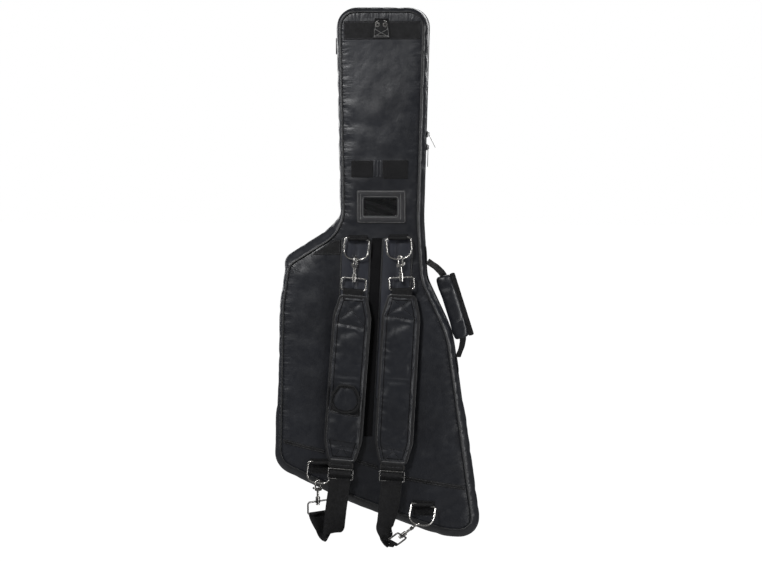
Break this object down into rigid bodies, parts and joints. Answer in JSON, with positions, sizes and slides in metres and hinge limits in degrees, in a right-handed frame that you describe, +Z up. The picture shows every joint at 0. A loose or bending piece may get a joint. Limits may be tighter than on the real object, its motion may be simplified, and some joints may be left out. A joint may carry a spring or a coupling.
{
  "type": "padded gig bag",
  "caption": "Padded soft case for an offset-body electric guitar, with a hinged zip lid, clip-on backpack straps, side handle and hanging tab.",
  "frame": {"origin": "midway between the two hanger eyelets, in the plane of their outer faces, where the bag hangs", "axes": "+X to the right seen from behind, -Y out of the back (strap) side, +Z up along the neck"},
  "size_m": [0.4556, 0.1835, 1.2101],
  "materials": {
    "nylon": "satin nylon, polyurethane backed",
    "webbing": "woven",
    "piping": "satin",
    "foam": "closed-cell foam",
    "plush": "brushed plush",
    "zip": "coil zip tape",
    "slider_metal": "gloss",
    "nickel": "bright nickel",
    "cord": "braided",
    "card": "matte",
    "clear_film": "clear flexible film",
    "leatherette": "grained",
    "hook_loop": "hook and loop"
  },
  "bodies": {
    "bag": {"body_cloth": "nylon", "body_panel_foam": "foam", "body_wall_foam": "foam", "body_lining": "plush", "body_piping": "piping", "main_zip_body_side": "zip", "hinge_strip": "webbing", "hanger_tab": "webbing", "hanger_eyelets": "nickel", "webbing_trim": "webbing", "hook_loop_patches": "hook_loop", "card_frame": "leatherette", "card": "card", "card_cover": "clear_film", "neck_rest": "foam", "neck_strap": "plush", "handle_anchors": "webbing", "landing_strips": "nylon", "spine_channel": "plush", "ring_tabs": "webbing"},
    "lid": {"lid_cloth": "nylon", "lid_panel_foam": "foam", "lid_wall_foam": "foam", "lid_lining": "plush", "lid_piping": "piping", "main_zip_lid_side": "zip", "front_pocket": "nylon", "front_pocket_zip": "zip"},
    "upper_zip": {"upper_zip_slider": "slider_metal"},
    "upper_pull": {"upper_zip_pull": "nickel"},
    "lower_zip": {"lower_zip_slider": "slider_metal"},
    "lower_pull": {"lower_zip_pull": "cord"},
    "pocket_slider": {"front_pocket_slider": "slider_metal"},
    "pocket_pull": {"front_pocket_pull": "cord"},
    "handle": {"handle_webbing": "webbing", "handle_grip": "nylon"},
    "left_flap": {"pad_flap": "nylon"},
    "left_strap": {"left_upper_ring": "nickel", "left_upper_base_ring": "nickel", "left_pad": "nylon", "left_adjuster": "nickel", "left_webbing": "webbing", "pad_pocket": "nylon"},
    "left_upper_snap": {"left_upper_hook": "nickel"},
    "left_upper_lever": {"left_upper_gate": "nickel"},
    "left_lower_link": {"left_lower_ring": "nickel", "left_lower_base_ring": "nickel"},
    "left_lower_snap": {"left_lower_hook": "nickel"},
    "left_lower_lever": {"left_lower_gate": "nickel"},
    "right_strap": {"right_upper_ring": "nickel", "right_upper_base_ring": "nickel", "right_pad": "nylon", "right_adjuster": "nickel", "right_webbing": "webbing"},
    "right_upper_snap": {"right_upper_hook": "nickel"},
    "right_upper_lever": {"right_upper_gate": "nickel"},
    "right_lower_link": {"right_lower_ring": "nickel", "right_lower_base_ring": "nickel"},
    "right_lower_snap": {"right_lower_hook": "nickel"},
    "right_lower_lever": {"right_lower_gate": "nickel"}
  },
  "joints": [
    {"name": "lid_hinge", "type": "hinge", "parent": "bag", "child": "lid", "pos_m": [0.01443, 0.0715, -1.10041], "axis": [-0.9336, 0, 0.3584], "range_deg": [0, 150]},
    {"name": "upper_zip_slide", "type": "slide", "parent": "bag", "child": "upper_zip", "axis": [0.0279, 0, 0.9996], "range_m": [0, 0.2]},
    {"name": "upper_pull_lift", "type": "hinge", "parent": "upper_zip", "child": "upper_pull", "pos_m": [0.10089, 0.0715, -0.24169], "axis": [0, -1, 0], "range_deg": [-3, 80]},
    {"name": "lower_zip_slide", "type": "slide", "parent": "bag", "child": "lower_zip", "axis": [0.0279, 0, 0.9996], "range_m": [-0.12, 0]},
    {"name": "lower_pull_lift", "type": "hinge", "parent": "lower_zip", "child": "lower_pull", "pos_m": [0.10007, 0.0715, -0.27069], "axis": [0, -1, 0], "range_deg": [0, 75]},
    {"name": "pocket_zip_slide", "type": "slide", "parent": "lid", "child": "pocket_slider", "axis": [0, 0, 1], "range_m": [-0.01, 0.21]},
    {"name": "pocket_pull_lift", "type": "hinge", "parent": "pocket_slider", "child": "pocket_pull", "pos_m": [-0.196, 0.1288, -0.8966], "axis": [1, 0, 0], "range_deg": [0, 110]},
    {"name": "left_strap_swing", "type": "hinge", "parent": "bag", "child": "left_strap", "pos_m": [-0.0527, -0.01, -0.4752], "axis": [-0.9925, 0, 0.1219], "range_deg": [0, 12]},
    {"name": "left_upper_swivel", "type": "hinge", "parent": "left_strap", "child": "left_upper_snap", "pos_m": [-0.06036, -0.01, -0.5634], "axis": [0.0698, 0, 0.9976], "range_deg": [-30, 50]},
    {"name": "left_upper_gate_press", "type": "hinge", "parent": "left_upper_snap", "child": "left_upper_lever", "pos_m": [-0.06055, -0.0162, -0.53372], "axis": [-0.9374, 0.342, 0.0655], "range_deg": [0, 20]},
    {"name": "left_lower_ring_swing", "type": "hinge", "parent": "bag", "child": "left_lower_link", "pos_m": [-0.137, -0.007, -0.9832], "axis": [-0.9903, 0, 0.1392], "range_deg": [0, 6]},
    {"name": "left_lower_swivel", "type": "hinge", "parent": "left_lower_link", "child": "left_lower_snap", "pos_m": [-0.1434, -0.007, -1.07075], "axis": [0, 0, 1], "range_deg": [0, 90]},
    {"name": "left_lower_gate_press", "type": "hinge", "parent": "left_lower_snap", "child": "left_lower_lever", "pos_m": [-0.14807, -0.01167, -1.04115], "axis": [-0.7071, 0.7071, 0], "range_deg": [0, 20]},
    {"name": "right_strap_swing", "type": "hinge", "parent": "bag", "child": "right_strap", "pos_m": [0.0381, -0.01, -0.473], "axis": [-0.9945, 0, -0.1045], "range_deg": [0, 12]},
    {"name": "right_upper_swivel", "type": "hinge", "parent": "right_strap", "child": "right_upper_snap", "pos_m": [0.04535, -0.01, -0.56094], "axis": [-0.0523, 0, 0.9986], "range_deg": [-90, 0]},
    {"name": "right_upper_gate_press", "type": "hinge", "parent": "right_upper_snap", "child": "right_upper_lever", "pos_m": [0.0487, -0.01442, -0.53113], "axis": [-0.6682, -0.7431, -0.035], "range_deg": [0, 20]},
    {"name": "right_lower_ring_swing", "type": "hinge", "parent": "bag", "child": "right_lower_link", "pos_m": [0.096, -0.007, -1.076], "axis": [-0.9903, 0, 0.1392], "range_deg": [-10, 15]},
    {"name": "right_lower_swivel", "type": "hinge", "parent": "right_lower_link", "child": "right_lower_snap", "pos_m": [0.04918, -0.02644, -1.14203], "axis": [0.788, 0, 0.6157], "range_deg": [-20, 20]},
    {"name": "right_lower_gate_press", "type": "hinge", "parent": "right_lower_snap", "child": "right_lower_lever", "pos_m": [0.0725, -0.03304, -1.1238], "axis": [-0.6157, 0, 0.788], "range_deg": [0, 20]},
    {"name": "pad_flap_lift", "type": "hinge", "parent": "left_strap", "child": "left_flap", "pos_m": [-0.0762, -0.0188, -0.80045], "axis": [-0.9972, 0, 0.075], "range_deg": [0, 130]},
    {"name": "handle_swing", "type": "hinge", "parent": "bag", "child": "handle", "pos_m": [0.177, 0.045, -0.746], "axis": [-0.3046, 0, 0.9525], "range_deg": [-18, 18]}
  ]
}
